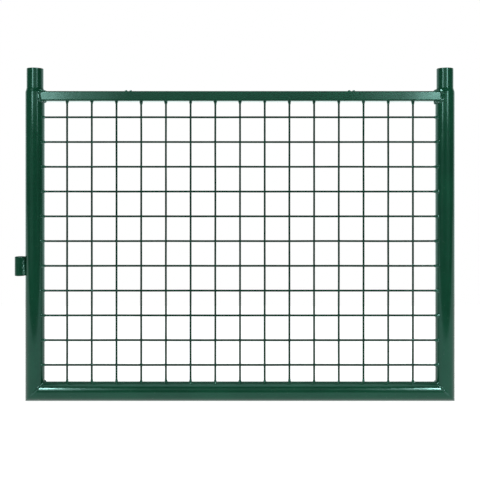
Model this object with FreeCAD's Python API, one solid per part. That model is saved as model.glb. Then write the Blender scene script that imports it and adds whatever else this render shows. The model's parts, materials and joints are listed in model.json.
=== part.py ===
import FreeCAD, Part
import math
import os

# Lower section of a steel mesh gate for a livestock pen, hung at its left side.
#
# Axes: +Z is up, +X runs from the hinge towards the latch side, and the mesh is
# nearer the -Y face. The origin is on the hinge axis, at the mouth of the hinge
# barrel's blind hole, which is the barrel's lower face. Lengths are in millimetres.

Vector = FreeCAD.Vector
UP = Vector(0, 0, 1)
ALONG_X = Vector(1, 0, 0)

# --- Frame of round tube ------------------------------------------------------
overall_width = 870.0        # over the outsides of the two uprights
overall_height = 674.0       # from under the bottom rail to the top of a spigot
tube_radius = 19.0           # 38 mm tube
tube_wall = 2.0

# --- Spigots: the swaged upper ends of the uprights ---------------------------
spigot_radius = 16.7         # slides into the 34 mm bore of another 38 mm tube
spigot_length = 40.0
spigot_lip = 1.5             # rounding of the spigot's upper rim
shoulder_length = 8.0        # taper from the tube down to the spigot

# --- Top rail of box tube -----------------------------------------------------
rail_height = 20.0
rail_depth = 30.0
rail_wall = 1.5
rail_corner = 3.0            # outside corner radius of the box tube
rail_top_above_bottom = 627.0

# --- Welded mesh --------------------------------------------------------------
wire_radius = 2.0
mesh_pitch = 50.0
horizontal_count = 11
vertical_count = 15
first_horizontal = 74.5      # lowest horizontal wire above the frame's underside
mesh_plane_y = -6.0          # where the two layers of wire touch

# --- Hinge barrel -------------------------------------------------------------
barrel_radius = 11.0
barrel_length = 38.0
barrel_edge = 0.8            # rounding of the barrel's two outer edges
bore_radius = 6.5            # for a 12 mm pintle
bore_depth = 30.0            # length of the hole's straight wall
drill_point_angle = 118.0    # of the cone at the blind end
barrel_above_bottom = 254.0  # barrel's lower face above the frame's underside

# --- Welds --------------------------------------------------------------------
mitre_bead_radius = 3.4
mitre_bead_sink = 1.9        # how far the bead's centre line lies under the tube's surface
mitre_ground_margin = 9.0    # length of joint at the outer corner that is ground flush
rail_bead_size = 2.6
hinge_bead_radius = 4.5
hinge_bead_y = 7.5
hinge_bead_x = 10.6
hinge_bead_margin = 2.0      # the bead stops this far short of the barrel's ends
wire_bead_foot = 4.4         # radius of a wire's weld at the tube
wire_bead_neck = 2.3         # radius of the same weld out on the wire
wire_bead_length = 7.0       # reach of the weld from the tube's surface
wire_bead_sink = 2.5         # how far the weld's cone starts inside the tube

# --- Pips of thick coating on top of the top rail, where hooks held it ---------
pip_radius = 2.8
pip_height = 2.2
pip_gap = 9.3                # between the two pips of a pair
pip_pair_offset = 225.0      # from the gate's middle to the middle of a pair
pip_y = -9.0                 # on the half of the rail's top nearer the mesh

# --- Places worked out from the sizes above -----------------------------------
frame_bottom = -barrel_above_bottom
bottom_axis_z = frame_bottom + tube_radius
spigot_top = frame_bottom + overall_height
shoulder_top = spigot_top - spigot_length
shoulder_bottom = shoulder_top - shoulder_length
left_x = barrel_radius + tube_radius
right_x = left_x + overall_width - 2 * tube_radius
centre_x = (left_x + right_x) / 2
rail_top_z = frame_bottom + rail_top_above_bottom
rail_bottom_z = rail_top_z - rail_height
horizontal_y = mesh_plane_y - wire_radius
vertical_y = mesh_plane_y + wire_radius
lowest_wire_z = frame_bottom + first_horizontal
leftmost_wire_x = centre_x - mesh_pitch * (vertical_count - 1) / 2
horizontal_heights = [lowest_wire_z + mesh_pitch * i for i in range(horizontal_count)]
vertical_places = [leftmost_wire_x + mesh_pitch * i for i in range(vertical_count)]
SPARE = 60.0                 # how far a cutting solid runs past what it cuts


def cylinder(radius, start, end):
    """A solid round bar from one point to another."""
    direction = end - start
    return Part.makeCylinder(radius, direction.Length, start, direction)


def turned(outline, x, y=0.0):
    """A solid turned about the vertical line through (x, y) from (radius, z) points."""
    points = [Vector(x + radius, y, z) for radius, z in outline]
    face = Part.Face(Part.makePolygon(points + [points[0]]))
    return face.revolve(Vector(x, y, 0), UP, 360)


def rounded_bar(x0, x1, height, depth, corner, z_middle):
    """A bar of rounded rectangular section along X, centred on y = 0."""
    corner_low = Vector(x0, -depth / 2, z_middle - height / 2)
    bar = Part.makeBox(x1 - x0, depth, height, corner_low)
    long_edges = [edge for edge in bar.Edges if abs(edge.tangentAt(0).x) > 0.9]
    return bar.makeFillet(corner, long_edges)


def mitre_keep(x, upright_side):
    """A block on one side of the 45 degree mitre through a bottom corner.

    The mitre plane holds the crossing of the two tube axes. upright_side says whether
    the block covers the upright's side of that plane or the bottom rail's.
    """
    inward = 1 if x < centre_x else -1
    across = 1 if upright_side else -1
    reach = overall_width / 2
    corner = Vector(x, -SPARE, bottom_axis_z)
    up_the_mitre = Vector(inward, 0, 1) * reach
    outwards = Vector(-inward, 0, 1) * reach * across
    outline = [
        corner - up_the_mitre,
        corner + up_the_mitre,
        corner + up_the_mitre + outwards,
        corner - up_the_mitre + outwards,
    ]
    face = Part.Face(Part.makePolygon(outline + [outline[0]]))
    return face.extrude(Vector(0, 2 * SPARE, 0))


def upright_form(x, wall=0.0):
    """The upright's outer form, or its inner form when a wall's thickness is given.

    Both run past the mitre at the bottom and end at the top of the shoulder.
    """
    tube = tube_radius - wall
    neck = spigot_radius - wall
    low = frame_bottom - SPARE
    outline = [(0, low), (tube, low), (tube, shoulder_bottom), (neck, shoulder_top), (0, shoulder_top)]
    return turned(outline, x)


def upright(x):
    """A tube with a mitre at its bottom and a tapered shoulder at its top."""
    return upright_form(x).cut(upright_form(x, tube_wall)).common(mitre_keep(x, True))


def spigot(x):
    """The narrow end that carries on from the shoulder, with a rounded upper rim.

    On the real gate it is swaged from the upright's own tube.
    """
    low = Vector(x, 0, shoulder_top)
    high = Vector(x, 0, spigot_top)
    bar = cylinder(spigot_radius, low, high)
    rim = [edge for edge in bar.Edges if edge.Closed and edge.BoundBox.ZMin > spigot_top - 0.01]
    return bar.makeFillet(spigot_lip, rim).cut(cylinder(spigot_radius - tube_wall, low, high))


def bottom_rail_form(wall=0.0):
    """The bottom rail's outer or inner form, running past both mitres."""
    start = Vector(left_x - SPARE, 0, bottom_axis_z)
    end = Vector(right_x + SPARE, 0, bottom_axis_z)
    return cylinder(tube_radius - wall, start, end)


def bottom_rail():
    """A tube mitred at both ends."""
    tube = bottom_rail_form().cut(bottom_rail_form(tube_wall))
    tube = tube.common(mitre_keep(left_x, False))
    return tube.common(mitre_keep(right_x, False))


def top_rail_form(grow=0.0):
    """The top rail's outer form from upright axis to upright axis, larger all round by grow."""
    middle = (rail_top_z + rail_bottom_z) / 2
    height = rail_height + 2 * grow
    depth = rail_depth + 2 * grow
    return rounded_bar(left_x, right_x, height, depth, rail_corner + grow, middle)


def coped(bar):
    """A bar between the uprights with its ends cut to fit round them."""
    return bar.cut(upright_form(left_x)).cut(upright_form(right_x))


def top_rail():
    """A box tube coped to the uprights."""
    return coped(top_rail_form().cut(top_rail_form(-rail_wall)))


def hinge_barrel():
    """A short round boss with a blind hole that drops over an upright pintle."""
    body = Part.makeCylinder(barrel_radius, barrel_length)
    body = body.makeFillet(barrel_edge, [edge for edge in body.Edges if edge.Closed])
    tip = bore_radius / math.tan(math.radians(drill_point_angle / 2))
    hole = [(0, -SPARE), (bore_radius, -SPARE), (bore_radius, bore_depth), (0, bore_depth + tip)]
    return body.cut(turned(hole, 0))


def horizontal_wire(z):
    """A wire across the opening, butted against both uprights."""
    start = Vector(left_x, horizontal_y, z)
    end = Vector(right_x, horizontal_y, z)
    return coped(cylinder(wire_radius, start, end))


def vertical_wire(x):
    """A wire from the bottom rail up to the flat underside of the top rail."""
    start = Vector(x, vertical_y, bottom_axis_z)
    end = Vector(x, vertical_y, rail_bottom_z)
    return cylinder(wire_radius, start, end).cut(bottom_rail_form())


def mitre_weld(x):
    """A bead along the mitre, ground flush near the outer corner."""
    inward = 1 if x < centre_x else -1
    corner = Vector(x, 0, bottom_axis_z)
    path_radius = tube_radius - mitre_bead_sink
    up_the_mitre = Vector(inward, 0, 1).normalize()
    major = corner + up_the_mitre * path_radius * math.sqrt(2)
    minor = corner + Vector(0, path_radius, 0)
    ring = Part.Wire([Part.Ellipse(major, minor, corner).toShape()])
    section = Part.Wire([Part.Circle(major, Vector(0, 1, 0), mitre_bead_radius).toShape()])
    bead = ring.makePipeShell([section], True, False)
    bead = bead.cut(bottom_rail_form().common(mitre_keep(x, False)))
    bead = bead.cut(upright_form(x).common(mitre_keep(x, True)))
    outer_corner = corner - up_the_mitre * tube_radius * math.sqrt(2)
    ground = Part.makeBox(4 * SPARE, 4 * SPARE, 2 * SPARE, Vector(-2 * SPARE, -2 * SPARE, -2 * SPARE))
    ground.Placement = FreeCAD.Placement(
        outer_corner + up_the_mitre * mitre_ground_margin,
        FreeCAD.Rotation(UP, up_the_mitre),
    )
    return bead.cut(ground)


def top_rail_weld(x):
    """A bead round the end of the top rail, where it meets the upright."""
    low = Vector(x, 0, rail_bottom_z - SPARE)
    high = Vector(x, 0, rail_top_z + SPARE)
    bead = cylinder(tube_radius + rail_bead_size, low, high).cut(upright_form(x))
    return bead.common(top_rail_form(rail_bead_size)).cut(top_rail_form())


def hinge_weld(side):
    """A bead down one of the two valleys between the barrel and the upright."""
    low = Vector(hinge_bead_x, side * hinge_bead_y, hinge_bead_margin)
    high = Vector(hinge_bead_x, side * hinge_bead_y, barrel_length - hinge_bead_margin)
    bead = cylinder(hinge_bead_radius, low, high)
    bead = bead.cut(Part.makeCylinder(barrel_radius, barrel_length))
    return bead.cut(upright_form(left_x))


def wire_weld(foot, direction):
    """A small cone round a wire; foot is where the wire's axis meets the tube."""
    start = foot - direction * wire_bead_sink
    length = wire_bead_length + wire_bead_sink
    cone = Part.makeCone(wire_bead_foot, wire_bead_neck, length, start, direction)
    core = cylinder(wire_radius, start - direction * SPARE, start + direction * 2 * SPARE)
    return cone.cut(core)


def upright_wire_welds(x):
    """The welds of all the horizontal wires on one upright."""
    inward = 1 if x < centre_x else -1
    reach = math.sqrt(tube_radius ** 2 - horizontal_y ** 2)
    tube = upright_form(x)
    welds = []
    for z in horizontal_heights:
        foot = Vector(x + inward * reach, horizontal_y, z)
        welds.append(wire_weld(foot, ALONG_X * inward).cut(tube))
    return Part.makeCompound(welds)


def bottom_wire_welds():
    """The welds of all the vertical wires on the bottom rail."""
    reach = math.sqrt(tube_radius ** 2 - vertical_y ** 2)
    tube = bottom_rail_form()
    welds = []
    for x in vertical_places:
        foot = Vector(x, vertical_y, bottom_axis_z + reach)
        welds.append(wire_weld(foot, UP).cut(tube))
    return Part.makeCompound(welds)


def top_wire_welds():
    """The welds of all the vertical wires under the top rail."""
    rail = top_rail_form()
    welds = []
    for x in vertical_places:
        foot = Vector(x, vertical_y, rail_bottom_z)
        welds.append(wire_weld(foot, -UP).cut(rail))
    return Part.makeCompound(welds)


def coating_pips(pair_x):
    """Two low domes, each the cap of a ball sunk in the top rail."""
    ball_radius = (pip_radius ** 2 + pip_height ** 2) / (2 * pip_height)
    pips = []
    for side in (-1, 1):
        middle = Vector(pair_x + side * pip_gap / 2, pip_y, rail_top_z + pip_height - ball_radius)
        pips.append(Part.makeSphere(ball_radius, middle).cut(top_rail_form()))
    return Part.makeCompound(pips)


def gate_pieces():
    """Every piece of the gate by name."""
    pieces = {
        "left_upright": upright(left_x),
        "right_upright": upright(right_x),
        "left_spigot": spigot(left_x),
        "right_spigot": spigot(right_x),
        "bottom_rail": bottom_rail(),
        "top_rail": top_rail(),
        "hinge_barrel": hinge_barrel(),
        "hinge_weld_front": hinge_weld(-1),
        "hinge_weld_back": hinge_weld(1),
        "mitre_weld_left": mitre_weld(left_x),
        "mitre_weld_right": mitre_weld(right_x),
        "top_rail_weld_left": top_rail_weld(left_x),
        "top_rail_weld_right": top_rail_weld(right_x),
        "wire_welds_left": upright_wire_welds(left_x),
        "wire_welds_right": upright_wire_welds(right_x),
        "wire_welds_bottom": bottom_wire_welds(),
        "wire_welds_top": top_wire_welds(),
        "coating_pips_left": coating_pips(centre_x - pip_pair_offset),
        "coating_pips_right": coating_pips(centre_x + pip_pair_offset),
    }
    for number, z in enumerate(horizontal_heights, start=1):
        pieces["horizontal_wire_%02d" % number] = horizontal_wire(z)
    for number, x in enumerate(vertical_places, start=1):
        pieces["vertical_wire_%02d" % number] = vertical_wire(x)
    return pieces


os.makedirs("parts", exist_ok=True)
for name, shape in gate_pieces().items():
    shape.exportStep("parts/%s.step" % name)
    print(name, len(shape.Solids), "solids", round(shape.Volume), "mm3", shape.isValid())
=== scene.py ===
import json
import math
import random

import bmesh
import bpy
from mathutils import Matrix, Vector, noise


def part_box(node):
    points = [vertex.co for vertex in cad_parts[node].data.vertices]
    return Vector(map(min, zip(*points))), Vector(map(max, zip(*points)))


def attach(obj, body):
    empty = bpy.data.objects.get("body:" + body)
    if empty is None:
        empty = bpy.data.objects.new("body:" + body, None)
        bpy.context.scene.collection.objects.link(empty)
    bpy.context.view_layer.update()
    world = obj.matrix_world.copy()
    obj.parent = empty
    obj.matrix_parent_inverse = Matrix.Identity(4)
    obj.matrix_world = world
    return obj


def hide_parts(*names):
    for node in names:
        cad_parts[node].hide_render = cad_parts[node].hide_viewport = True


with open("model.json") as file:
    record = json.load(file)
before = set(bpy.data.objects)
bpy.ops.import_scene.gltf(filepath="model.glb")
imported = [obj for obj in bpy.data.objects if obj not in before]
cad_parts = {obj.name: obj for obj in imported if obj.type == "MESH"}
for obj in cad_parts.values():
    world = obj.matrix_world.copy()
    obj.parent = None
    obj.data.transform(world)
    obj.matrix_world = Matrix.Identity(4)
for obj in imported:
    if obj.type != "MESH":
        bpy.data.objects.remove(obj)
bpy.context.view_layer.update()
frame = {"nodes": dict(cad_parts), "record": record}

# The looks of a welded mesh gate panel with a dark green powder coat, built round its CAD
# frame. Everything is in metres in the CAD's own axes: +Z up, +X from the hinge across the
# panel, and the camera stands on the -Y side.

MM = 0.001

# --- Places read from the frame ------------------------------------------------
LEFT_LOW, LEFT_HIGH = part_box("left_upright")
RIGHT_LOW, RIGHT_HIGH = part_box("right_upright")
RAIL_LOW, RAIL_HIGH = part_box("top_rail")
SPIGOT_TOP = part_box("left_spigot")[1].z
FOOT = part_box("bottom_rail")[0].z
TUBE_R = (LEFT_HIGH.x - LEFT_LOW.x) / 2
LEFT_X = (LEFT_LOW.x + LEFT_HIGH.x) / 2
RIGHT_X = (RIGHT_LOW.x + RIGHT_HIGH.x) / 2
MIDDLE_X = (LEFT_X + RIGHT_X) / 2
BOTTOM_AXIS_Z = FOOT + TUBE_R


def node_names(start):
    return sorted(name for name in frame["nodes"] if name.startswith(start))


def node_centre(name):
    low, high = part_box(name)
    return (low + high) / 2


HORIZONTALS = {name: node_centre(name) for name in node_names("horizontal_wire_")}
VERTICALS = {name: node_centre(name) for name in node_names("vertical_wire_")}
WIRE_R = (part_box("vertical_wire_01")[1].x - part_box("vertical_wire_01")[0].x) / 2
HORIZONTAL_Y = node_centre("horizontal_wire_01").y
VERTICAL_Y = node_centre("vertical_wire_01").y
BARREL_LOW, BARREL_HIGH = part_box("hinge_barrel")
BARREL_R = (BARREL_HIGH.x - BARREL_LOW.x) / 2


# --- Materials -----------------------------------------------------------------

def new_material(name):
    material = bpy.data.materials.new(name)
    material.use_nodes = True
    return material, material.node_tree.nodes, material.node_tree.links


def noise_node(nodes, links, where, scale, detail=3.0, roughness=0.5):
    node = nodes.new("ShaderNodeTexNoise")
    node.inputs["Scale"].default_value = scale
    node.inputs["Detail"].default_value = detail
    node.inputs["Roughness"].default_value = roughness
    links.new(where, node.inputs["Vector"])
    return node


def ramp(nodes, links, value, low, high, out_low, out_high):
    node = nodes.new("ShaderNodeMapRange")
    node.inputs["From Min"].default_value = low
    node.inputs["From Max"].default_value = high
    node.inputs["To Min"].default_value = out_low
    node.inputs["To Max"].default_value = out_high
    links.new(value, node.inputs["Value"])
    return node.outputs["Result"]


def colour_mix(nodes, first, second):
    node = nodes.new("ShaderNodeMix")
    node.data_type = "RGBA"
    node.inputs["A"].default_value = [*first, 1.0]
    node.inputs["B"].default_value = [*second, 1.0]
    return node


def bump(nodes, links, height, depth):
    node = nodes.new("ShaderNodeBump")
    node.inputs["Distance"].default_value = depth
    node.inputs["Strength"].default_value = 1.0
    links.new(height, node.inputs["Height"])
    return node


SHADE_RANGE = (0.86, 1.16)    # how far the coat's shade wanders from its mean
DUST_COLOUR = (0.10, 0.14, 0.12)
REFLECTION_TINT = (0.52, 1.0, 0.92, 1.0)
SETTLED = (0.90, 0.99)       # Z of the normals on which a film of dust settles
SETTLED_ROUGHNESS = 0.55     # what the film adds to the roughness


def powder_coat(name, colour, gloss, ior, peel_scale, peel_depth, grain_depth):
    """Glossy powder coat: orange peel, fine grain, uneven gloss and a little handling dust."""
    material, nodes, links = new_material(name)
    shader = nodes["Principled BSDF"]
    where = nodes.new("ShaderNodeTexCoord").outputs["Object"]

    patches = noise_node(nodes, links, where, 9.0, 4.0, 0.6)
    darkest, palest = ([c * share for c in colour] for share in SHADE_RANGE)
    shade = colour_mix(nodes, darkest, palest)
    links.new(ramp(nodes, links, patches.outputs["Fac"], 0.35, 0.65, 0.0, 1.0), shade.inputs["Factor"])

    specks = noise_node(nodes, links, where, 260.0, 2.0, 0.7)
    dust = colour_mix(nodes, colour, DUST_COLOUR)
    links.new(shade.outputs["Result"], dust.inputs["A"])
    links.new(ramp(nodes, links, specks.outputs["Fac"], 0.66, 0.80, 0.0, 0.35), dust.inputs["Factor"])
    links.new(dust.outputs["Result"], shader.inputs["Base Color"])

    haze = noise_node(nodes, links, where, 55.0, 4.0, 0.65)
    upward = nodes.new("ShaderNodeSeparateXYZ")
    links.new(nodes.new("ShaderNodeTexCoord").outputs["Normal"], upward.inputs["Vector"])
    roughness = nodes.new("ShaderNodeMath")
    roughness.operation = "ADD"
    links.new(ramp(nodes, links, haze.outputs["Fac"], 0.3, 0.7, gloss - 0.04, gloss + 0.06), roughness.inputs[0])
    links.new(ramp(nodes, links, upward.outputs["Z"], *SETTLED, 0.0, SETTLED_ROUGHNESS), roughness.inputs[1])
    links.new(roughness.outputs["Value"], shader.inputs["Roughness"])

    peel = noise_node(nodes, links, where, peel_scale, 1.5, 0.4)
    grain = noise_node(nodes, links, where, peel_scale * 6, 2.0, 0.5)
    peel_bump = bump(nodes, links, peel.outputs["Fac"], peel_depth)
    grain_bump = bump(nodes, links, grain.outputs["Fac"], grain_depth)
    links.new(peel_bump.outputs["Normal"], grain_bump.inputs["Normal"])
    links.new(grain_bump.outputs["Normal"], shader.inputs["Normal"])

    shader.inputs["Metallic"].default_value = 0.0
    shader.inputs["IOR"].default_value = ior
    shader.inputs["Specular Tint"].default_value = REFLECTION_TINT
    return material


GREEN = (0.0044, 0.043, 0.0215)
# The wires' green is the tube coat's green darkened: painted shade, so that the thin wires render darker.
WIRE_SHADED_GREEN = (0.0030, 0.024, 0.0130)
TUBE_COAT = powder_coat("tube_powder_coat", GREEN, 0.13, 1.45, 330.0, 0.00002, 0.000004)
WIRE_COAT = powder_coat("wire_powder_coat", WIRE_SHADED_GREEN, 0.18, 1.24, 500.0, 0.00002, 0.000004)
WELD_COAT = powder_coat("weld_powder_coat", GREEN, 0.05, 1.68, 700.0, 0.00002, 0.000002)

SLOT_MATERIALS = {
    "coated_tube": TUBE_COAT,
    "coated_wire": WIRE_COAT,
    "coated_weld": WELD_COAT,
}


def paint_frame():
    for part in frame["record"]["subparts"]:
        mesh = frame["nodes"][part["node"]].data
        for index in range(len(mesh.materials)):
            mesh.materials[index] = SLOT_MATERIALS[part["material_slot"]]


# --- Mesh building -----------------------------------------------------------------

def skin(points, faces, rings):
    """Joins rings of equal length into one closed skin."""
    start = len(points)
    count = len(rings[0])
    for ring in rings:
        points.extend(ring)
    for i in range(len(rings) - 1):
        a = start + i * count
        b = a + count
        for j in range(count):
            k = (j + 1) % count
            faces.append((a + j, a + k, b + k, b + j))
    faces.append(tuple(start + j for j in range(count)))
    last = start + (len(rings) - 1) * count
    faces.append(tuple(last + j for j in range(count)))


def add_piece(name, points, faces, slot, *nodes):
    mesh = bpy.data.meshes.new(name)
    mesh.from_pydata(points, [], faces)
    form = bmesh.new()
    form.from_mesh(mesh)
    bmesh.ops.recalc_face_normals(form, faces=form.faces)
    form.to_mesh(mesh)
    form.free()
    mesh.shade_smooth()
    mesh.materials.append(SLOT_MATERIALS[slot])
    piece = bpy.data.objects.new(name, mesh)
    bpy.context.scene.collection.objects.link(piece)
    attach(piece, "root")
    if nodes:
        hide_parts(*nodes)
    return piece


def lump(place, scale, seed):
    """Smooth noise from about -1 to 1."""
    return noise.noise(Vector(place) * scale + Vector((seed * 7.31, seed * 3.17, seed * 5.03)))


def smooth_step(value):
    value = max(0.0, min(1.0, value))
    return value * value * (3 - 2 * value)


# --- Weld beads ----------------------------------------------------------------------
BEAD_STEP = 0.45 * MM        # between the cross sections of a bead
BEAD_SINK = 2.2 * MM         # how far a bead's underside lies in the steel
DOME = [math.radians(-90 + 15 * i) for i in range(13)]


def even_path(sample, start, end):
    """Points evenly spaced along sample(t), each as (place, normal, t)."""
    fine = [start + (end - start) * i / 900 for i in range(901)]
    spots = [sample(t) for t in fine]
    path = [(spots[0][0], spots[0][1], fine[0])]
    walked = 0.0
    for i in range(1, len(fine)):
        walked += (spots[i][0] - spots[i - 1][0]).length
        if walked >= BEAD_STEP:
            path.append((spots[i][0], spots[i][1], fine[i]))
            walked = 0.0
    return path


def bead(points, faces, path, half_width, height, seed, lumpy, taper, ripple, crest):
    """A weld bead along a path; half_width and height are functions of the path's t.

    lumpy is how uneven it is, taper the length over which its ends fade, ripple the length of
    one frozen wave and crest the part of the height that the waves take.
    """
    rings = []
    total = BEAD_STEP * (len(path) - 1)
    for i, (place, normal, t) in enumerate(path):
        before = path[max(i - 1, 0)][0]
        after = path[min(i + 1, len(path) - 1)][0]
        along = (after - before).normalized()
        side = along.cross(normal).normalized()
        up = side.cross(along).normalized()
        if up.dot(normal) < 0:
            up = -up
        walked = BEAD_STEP * i
        fade = smooth_step(min(walked, total - walked) / taper) if taper else 1.0
        swell = 1 + lumpy * lump((walked, 0, 0), 185, seed)
        wander = 0.4 * MM * lump((walked, 1, 0), 90, seed + 2)
        bulge = 1 + 0.6 * lumpy * lump((walked, 0, 1), 120, seed + 1)
        wide = half_width(t) * (0.45 + 0.55 * fade) * bulge
        tall = height(t) * fade * swell
        ring = []
        for angle in DOME:
            across = math.sin(angle)
            lag = 0.9 * MM * across * across
            wave = 0.5 + 0.5 * math.cos(2 * math.pi * (walked + lag) / ripple)
            rise = tall * math.cos(angle) * (1 - crest + crest * wave)
            ring.append(place + side * (across * wide + wander) + up * rise)
        ring.append(place + side * wide * 0.7 - up * BEAD_SINK)
        ring.append(place - side * wide * 0.7 - up * BEAD_SINK)
        rings.append(ring)
    skin(points, faces, rings)


MITRE_END = 1.8              # angle round the tube from the inner corner, in radians


def mitre_bead(name, x, seed):
    """The bead on the mitre, thick in the frame's inner corner and gone on its outer side."""
    inward = 1 if x < MIDDLE_X else -1

    def sample(t):
        c, q = math.cos(t), math.sin(t)
        place = Vector((x + inward * TUBE_R * c, -TUBE_R * q, BOTTOM_AXIS_Z + TUBE_R * c))
        normal = Vector((inward * c, -2 * q, c)).normalized()
        return place, normal

    def height(t):
        inner = math.cos(min(abs(t), math.pi / 2)) ** 0.7
        return (0.1 + 2.4 * inner) * MM * smooth_step((MITRE_END - abs(t)) / 0.4)

    def half_width(t):
        return (1.3 + 2.8 * max(math.cos(t), 0)) * MM

    points, faces = [], []
    path = even_path(sample, -MITRE_END, MITRE_END)
    bead(points, faces, path, half_width, height, seed, 0.8, 5 * MM, 4.6 * MM, 0.32)
    add_piece(name + "_bead", points, faces, "coated_weld", name)


def rail_bead(name, x, grow, onto_rail, seed):
    """The bead round a top rail end. grow moves it onto the upright, onto_rail along the rail."""
    inward = 1 if x < MIDDLE_X else -1
    middle = (RAIL_LOW.z + RAIL_HIGH.z) / 2
    half_deep = (RAIL_HIGH.y - RAIL_LOW.y) / 2 + grow
    half_high = (RAIL_HIGH.z - RAIL_LOW.z) / 2 + grow
    corner = 3 * MM + grow
    run_y, run_z = half_deep - corner, half_high - corner
    quarter = corner * math.pi / 2
    legs = [("y", run_y * 2), ("arc", quarter), ("z", run_z * 2), ("arc", quarter)] * 2
    around = sum(length for kind, length in legs)

    def sample(t):
        left = (t % 1.0) * around
        spot = [-run_y, half_high]
        turn = math.pi / 2
        for kind, length in legs:
            step = min(left, length)
            if kind == "arc":
                centre = (spot[0] - corner * math.cos(turn), spot[1] - corner * math.sin(turn))
                turn -= step / corner
                spot = [centre[0] + corner * math.cos(turn), centre[1] + corner * math.sin(turn)]
            else:
                spot = [spot[0] + step * math.sin(turn), spot[1] - step * math.cos(turn)]
            left -= step
            if left <= 0:
                break
        y, z = spot
        out = math.sqrt(max(TUBE_R ** 2 - y * y, (4 * MM) ** 2))
        place = Vector((x + inward * (out + onto_rail), y, middle + z))
        on_rail = Vector((0, math.cos(turn), math.sin(turn)))
        on_upright = Vector((inward * out / TUBE_R, y / TUBE_R, 0))
        return place, (on_rail + on_upright * 0.8).normalized()

    points, faces = [], []
    path = even_path(sample, 0.0, 1.0)
    bead(points, faces, path, lambda t: 3.6 * MM, lambda t: 2.5 * MM, seed, 1.0, 0, 5.2 * MM, 0.32)
    add_piece(name + "_bead", points, faces, "coated_weld", name)


def hinge_bead(name, side, seed):
    """The bead in the valley between the hinge barrel and the upright; side is -1 in front."""
    valley = BARREL_HIGH.x - 2.0 * MM
    low, high = BARREL_LOW.z + 2 * MM, BARREL_HIGH.z - 2 * MM

    def sample(t):
        return Vector((valley, side * 8.3 * MM, t)), Vector((-0.30, side, 0)).normalized()

    points, faces = [], []
    path = even_path(sample, low, high)
    bead(points, faces, path, lambda t: 4.0 * MM, lambda t: 2.9 * MM, seed, 0.7, 4 * MM, 8.6 * MM, 0.45)
    add_piece(name + "_bead", points, faces, "coated_weld", name)


# --- Wire ends, wires and crossings ---------------------------------------------------

def frame_of(direction):
    """Two directions square to a wire that runs along X or Z."""
    side = Vector((0, 1, 0))
    return side, direction.cross(side).normalized()


NUGGET_STEPS = 11
NUGGET_SINK = 2.5 * MM
NUGGET_NECK = 2.3 * MM
WIRE_BOW = 0.22 * MM         # how far a wire wanders from straight
WIRE_PRESS = 0.3 * MM        # how far it bends into the wires that it crosses


def nugget(points, faces, foot, direction, length, foot_r, neck_r, seed):
    """The weld round a wire's end: a lumpy cone, hollow-sided, sunk into the tube."""
    across, other = frame_of(direction)
    rings = []
    for i in range(NUGGET_STEPS + 1):
        t = i / NUGGET_STEPS
        distance = -NUGGET_SINK + (length + NUGGET_SINK) * t
        radius = neck_r + (foot_r - neck_r) * (1 - t) ** 1.5
        if i == NUGGET_STEPS:
            radius = neck_r * 0.75
        ring = []
        for j in range(18):
            angle = 2 * math.pi * j / 18
            way = across * math.cos(angle) + other * math.sin(angle)
            bulge = 1 + 0.24 * lump(foot + way * radius + direction * distance, 330, seed)
            ring.append(foot + direction * distance + way * radius * bulge)
        rings.append(ring)
    skin(points, faces, rings)


def wire_end_welds():
    """One nugget for each wire end. Those on the right upright are a little larger."""
    for name, x in (("wire_welds_left", LEFT_X), ("wire_welds_right", RIGHT_X)):
        inward = 1 if x < MIDDLE_X else -1
        reach = math.sqrt(TUBE_R ** 2 - HORIZONTAL_Y ** 2)
        points, faces = [], []
        for i, centre in enumerate(HORIZONTALS.values()):
            foot = Vector((x + inward * reach, HORIZONTAL_Y, centre.z))
            more = 1.0 if inward > 0 else 1.15
            length = random.uniform(5.5, 7.5) * MM * more
            wide = random.uniform(4.0, 4.8) * MM * more
            way = Vector((inward, 0, 0))
            nugget(points, faces, foot, way, length, wide, NUGGET_NECK, i + 20 * inward)
        add_piece(name + "_nuggets", points, faces, "coated_weld", name)
    reach = math.sqrt(TUBE_R ** 2 - VERTICAL_Y ** 2)
    ends = (
        ("wire_welds_bottom", BOTTOM_AXIS_Z + reach, 1),
        ("wire_welds_top", RAIL_LOW.z, -1),
    )
    for name, z, way in ends:
        points, faces = [], []
        for i, centre in enumerate(VERTICALS.values()):
            foot = Vector((centre.x, VERTICAL_Y, z))
            length = random.uniform(5.5, 7.5) * MM
            wide = random.uniform(3.9, 4.7) * MM
            nugget(points, faces, foot, Vector((0, 0, way)), length, wide, NUGGET_NECK, i + 60 * way)
        add_piece(name + "_nuggets", points, faces, "coated_weld", name)


def wire(name, seed):
    """A drawn wire with a little waviness, pressed towards the wires that it crosses."""
    low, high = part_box(name)
    lies = name in HORIZONTALS
    crossings = [c.x for c in VERTICALS.values()] if lies else [c.z for c in HORIZONTALS.values()]
    start, end = (low.x, high.x) if lies else (low.z, high.z)
    direction = Vector((1, 0, 0)) if lies else Vector((0, 0, 1))
    towards = 1 if lies else -1
    across, other = frame_of(direction)
    centre = node_centre(name)
    stops = {start, end}
    count = int((end - start) / (5 * MM))
    stops.update(start + (end - start) * i / count for i in range(count + 1))
    stops.update(c + d * MM for c in crossings for d in (-3.5, -2, -1, 0, 1, 2, 3.5))
    rings = []
    for s in sorted(q for q in stops if start <= q <= end):
        near = max(math.exp(-((s - c) / (3 * MM)) ** 2) for c in crossings)
        middle = centre.copy()
        middle += other * WIRE_BOW * lump((s, 0, 0), 9, seed)
        middle += across * (WIRE_BOW * 0.6 * lump((s, 1, 0), 9, seed) + towards * WIRE_PRESS * near)
        if lies:
            middle.x = s
        else:
            middle.z = s
        radius = WIRE_R * (1 + 0.02 * lump((s, 2, 0), 60, seed))
        rings.append([
            middle + (across * math.cos(a) + other * math.sin(a)) * radius
            for a in (2 * math.pi * j / 14 for j in range(14))
        ])
    points, faces = [], []
    skin(points, faces, rings)
    add_piece(name + "_drawn", points, faces, "coated_wire", name)


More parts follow.
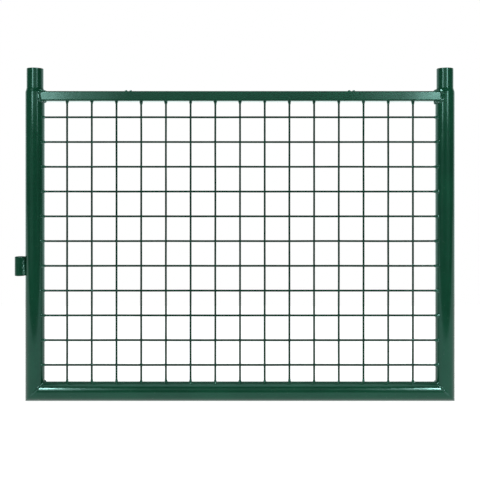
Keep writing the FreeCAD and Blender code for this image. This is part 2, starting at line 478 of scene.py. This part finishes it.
def crossing_welds():
    """The squeezed-out metal where each pair of wires is fused."""
    points, faces = [], []
    plane = (HORIZONTAL_Y + VERTICAL_Y) / 2
    for i, row in enumerate(HORIZONTALS.values()):
        for j, column in enumerate(VERTICALS.values()):
            middle = Vector((column.x, plane, row.z))
            size = [random.uniform(0.9, 1.1) * q * MM for q in (2.9, 1.8, 2.9)]
            rings = []
            for k in range(1, 8):
                tilt = math.pi * k / 8
                ring = []
                for m in range(12):
                    turn = 2 * math.pi * m / 12
                    out = math.sin(tilt)
                    way = Vector((out * math.cos(turn), math.cos(tilt), out * math.sin(turn)))
                    bulge = 1 + 0.2 * lump(middle + way * 3 * MM, 400, i * 15 + j)
                    ring.append(middle + Vector([way[a] * size[a] * bulge for a in range(3)]))
                rings.append(ring)
            skin(points, faces, rings)
    add_piece("mesh_crossing_welds", points, faces, "coated_weld")


def pips(name, seed):
    """Two drips of thick coating standing on the top rail."""
    low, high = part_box(name)
    middle = (low + high) / 2
    half = (high.y - low.y) / 2
    points, faces = [], []
    for side in (-1, 1):
        top = Vector((middle.x + side * ((high.x - low.x) / 2 - half), middle.y, RAIL_HIGH.z))
        rings = []
        for i in range(9):
            t = i / 8
            radius = half * math.cos(t * math.pi / 2 * 0.97)
            rise = (high.z - RAIL_HIGH.z) * math.sin(t * math.pi / 2) - (0.6 * MM if i == 0 else 0)
            ring = []
            for j in range(20):
                turn = 2 * math.pi * j / 20
                way = Vector((math.cos(turn), math.sin(turn), 0))
                bulge = 1 + 0.15 * lump(top + way * radius, 300, seed + side)
                ring.append(top + way * radius * bulge + Vector((0, 0, rise)))
            rings.append(ring)
        skin(points, faces, rings)
    add_piece(name + "_drips", points, faces, "coated_weld", name)


def build_details():
    random.seed(11)
    # The numbers at the ends of these lines are noise seeds, one to a piece.
    mitre_bead("mitre_weld_left", LEFT_X, 1)
    mitre_bead("mitre_weld_right", RIGHT_X, 2)
    rail_bead("top_rail_weld_left", LEFT_X, 0.0, 1.2 * MM, 3)
    rail_bead("top_rail_weld_right", RIGHT_X, 1.6 * MM, 0.0, 4)
    hinge_bead("hinge_weld_front", -1, 5)
    hinge_bead("hinge_weld_back", 1, 6)
    wire_end_welds()
    for i, name in enumerate(list(HORIZONTALS) + list(VERTICALS)):
        wire(name, i + 30)
    crossing_welds()
    pips("coating_pips_left", 91)
    pips("coating_pips_right", 95)


# --- Studio ----------------------------------------------------------------------

FLOOR_FRONT = 0.60           # how far the floor reaches from the gate's plane, towards the camera
FLOOR_BACK = 1.0
FLOOR_SIDE = 6.0
FLOOR_GLOW = 0.93


def matte_white():
    """Opal white, lit from below like a light table, so that the gate throws hardly any shadow."""
    material, nodes, links = new_material("studio_paper")
    shader = nodes["Principled BSDF"]
    where = nodes.new("ShaderNodeTexCoord").outputs["Object"]
    tooth = noise_node(nodes, links, where, 60.0, 3.0, 0.5)
    tone = colour_mix(nodes, (0.27, 0.27, 0.27), (0.30, 0.30, 0.30))
    links.new(tooth.outputs["Fac"], tone.inputs["Factor"])
    links.new(tone.outputs["Result"], shader.inputs["Base Color"])
    shader.inputs["Roughness"].default_value = 0.85
    shader.inputs["Specular IOR Level"].default_value = 0.1
    shader.inputs["Emission Color"].default_value = (1, 1, 1, 1)
    shader.inputs["Emission Strength"].default_value = FLOOR_GLOW
    return material




def make_floor():
    mesh = bpy.data.meshes.new("studio_floor")
    corners = [
        (MIDDLE_X - FLOOR_SIDE, -FLOOR_FRONT, FOOT),
        (MIDDLE_X + FLOOR_SIDE, -FLOOR_FRONT, FOOT),
        (MIDDLE_X + FLOOR_SIDE, FLOOR_BACK, FOOT),
        (MIDDLE_X - FLOOR_SIDE, FLOOR_BACK, FOOT),
    ]
    mesh.from_pydata(corners, [], [(0, 1, 2, 3)])
    mesh.materials.append(matte_white())
    floor = bpy.data.objects.new("studio_floor", mesh)
    bpy.context.scene.collection.objects.link(floor)


ROOM_DARK = 0.09             # in front of the gate
ROOM_WHITE = 1.5             # the backdrop
ROOM_CEILING = 1.3
BACKDROP_EDGE = (0.08, 0.48)     # Y of the directions where the backdrop fades in
BACKDROP_TOP = (0.25, 0.50)      # Z of the directions where it fades out upwards
CEILING_EDGE = (0.88, 0.97)      # Z of the directions where the ceiling begins
ROOM_COLOUR = (0.86, 1.0, 0.98, 1.0)


def make_world():
    """A white studio: the camera sees plain white, and reflections see a darker room in front."""
    world = bpy.data.worlds.new("studio")
    bpy.context.scene.world = world
    world.use_nodes = True
    nodes, links = world.node_tree.nodes, world.node_tree.links
    nodes.clear()
    direction = nodes.new("ShaderNodeTexCoord").outputs["Generated"]
    split = nodes.new("ShaderNodeSeparateXYZ")
    links.new(direction, split.inputs["Vector"])
    backdrop = ramp(nodes, links, split.outputs["Y"], *BACKDROP_EDGE, ROOM_DARK, ROOM_WHITE)
    low = ramp(nodes, links, split.outputs["Z"], *BACKDROP_TOP, 1.0, 0.12)
    walls = nodes.new("ShaderNodeMath")
    walls.operation = "MULTIPLY"
    links.new(backdrop, walls.inputs[0])
    links.new(low, walls.inputs[1])
    ceiling = ramp(nodes, links, split.outputs["Z"], *CEILING_EDGE, 0.0, ROOM_CEILING)
    room = nodes.new("ShaderNodeMath")
    room.operation = "MAXIMUM"
    links.new(walls.outputs["Value"], room.inputs[0])
    links.new(ceiling, room.inputs[1])
    lit = nodes.new("ShaderNodeBackground")
    links.new(room.outputs["Value"], lit.inputs["Strength"])
    lit.inputs["Color"].default_value = ROOM_COLOUR
    plain = nodes.new("ShaderNodeBackground")
    plain.inputs["Strength"].default_value = 1.0
    plain.inputs["Color"].default_value = (1, 1, 1, 1)
    sight = nodes.new("ShaderNodeLightPath")
    pick = nodes.new("ShaderNodeMixShader")
    links.new(sight.outputs["Is Camera Ray"], pick.inputs["Fac"])
    links.new(lit.outputs["Background"], pick.inputs[1])
    links.new(plain.outputs["Background"], pick.inputs[2])
    out = nodes.new("ShaderNodeOutputWorld")
    links.new(pick.outputs["Shader"], out.inputs["Surface"])


def area_light(name, place, target, width, height, watts, spread=180.0):
    light = bpy.data.lights.new(name, "AREA")
    light.shape = "RECTANGLE"
    light.size = width
    light.size_y = height
    light.energy = watts
    light.spread = math.radians(spread)
    thing = bpy.data.objects.new(name, light)
    thing.location = place
    thing.rotation_mode = "QUATERNION"
    thing.rotation_quaternion = (Vector(target) - Vector(place)).to_track_quat("-Z", "Y")
    bpy.context.scene.collection.objects.link(thing)
    return thing


LIGHTS_Y = -1.36
# Each side's strips: name, distance from the middle, lower and upper edge above the foot,
# width, how far below itself the strip aims, watts.
STRIPS = (
    ("softbox", 0.85, 0.69, 1.10, 0.30, 0.0, 4.0),
    ("softbox_inner", 0.60, 0.69, 1.10, 0.20, 0.0, 0.35),
    ("softbox_foot", 1.19, 0.05, 0.66, 1.2, 0.0, 0.6),
    ("softbox_head", 0.92, 1.12, 1.50, 0.12, 1.2, 13.0),
)
# Each side: name, way along X, aim (0 at the gate's middle, 1 straight ahead), spread in
# degrees, and what its watts are multiplied by.
SIDES = (
    ("left", -1, 0.3, 180.0, 1.0),
    ("right", 1, 1.0, 120.0, 0.53),
)


def make_lights():
    """Two softboxes in front, each in strips of unequal strength, a dim panel and a top light."""
    for name, side, aim, spread, share in SIDES:
        for part, across, low, high, width, drop, watts in STRIPS:
            x = MIDDLE_X + side * across
            z = FOOT + (low + high) / 2
            target = (MIDDLE_X + side * across * aim, 0, z - drop)
            place = (x, LIGHTS_Y, z)
            area_light(name + "_" + part, place, target, width, high - low, watts * share, spread)
    fill_z = FOOT + 1.10
    area_light("front_fill", (MIDDLE_X, LIGHTS_Y - 0.01, fill_z), (MIDDLE_X, 0, fill_z), 1.34, 0.81, 2.0)
    area_light("overhead", (MIDDLE_X, 0.0, SPIGOT_TOP + 2.2), (MIDDLE_X, 0, FOOT), 2.4, 1.2, 8)


# --- Camera ----------------------------------------------------------------------
VIEW_WIDTH = 0.9691          # width of the scene seen across the plane of the horizontal wires
CAMERA_DISTANCE = 1.45
CAMERA_SHIFT = -0.15         # keeps the uprights parallel while the camera stands higher
FRAME_CENTRE_ABOVE_FOOT = 0.3267
SENSOR = 36.0


def make_camera():
    data = bpy.data.cameras.new("camera")
    data.sensor_width = SENSOR
    data.lens = SENSOR * CAMERA_DISTANCE / VIEW_WIDTH
    data.shift_y = CAMERA_SHIFT
    camera = bpy.data.objects.new("camera", data)
    height = FOOT + FRAME_CENTRE_ABOVE_FOOT - CAMERA_SHIFT * VIEW_WIDTH
    camera.location = (MIDDLE_X, HORIZONTAL_Y - CAMERA_DISTANCE, height)
    camera.rotation_euler = (math.radians(90), 0, 0)
    bpy.context.scene.collection.objects.link(camera)
    bpy.context.scene.camera = camera


paint_frame()
build_details()
make_floor()
make_world()
make_lights()
make_camera()
bpy.context.scene.view_settings.view_transform = "Standard"
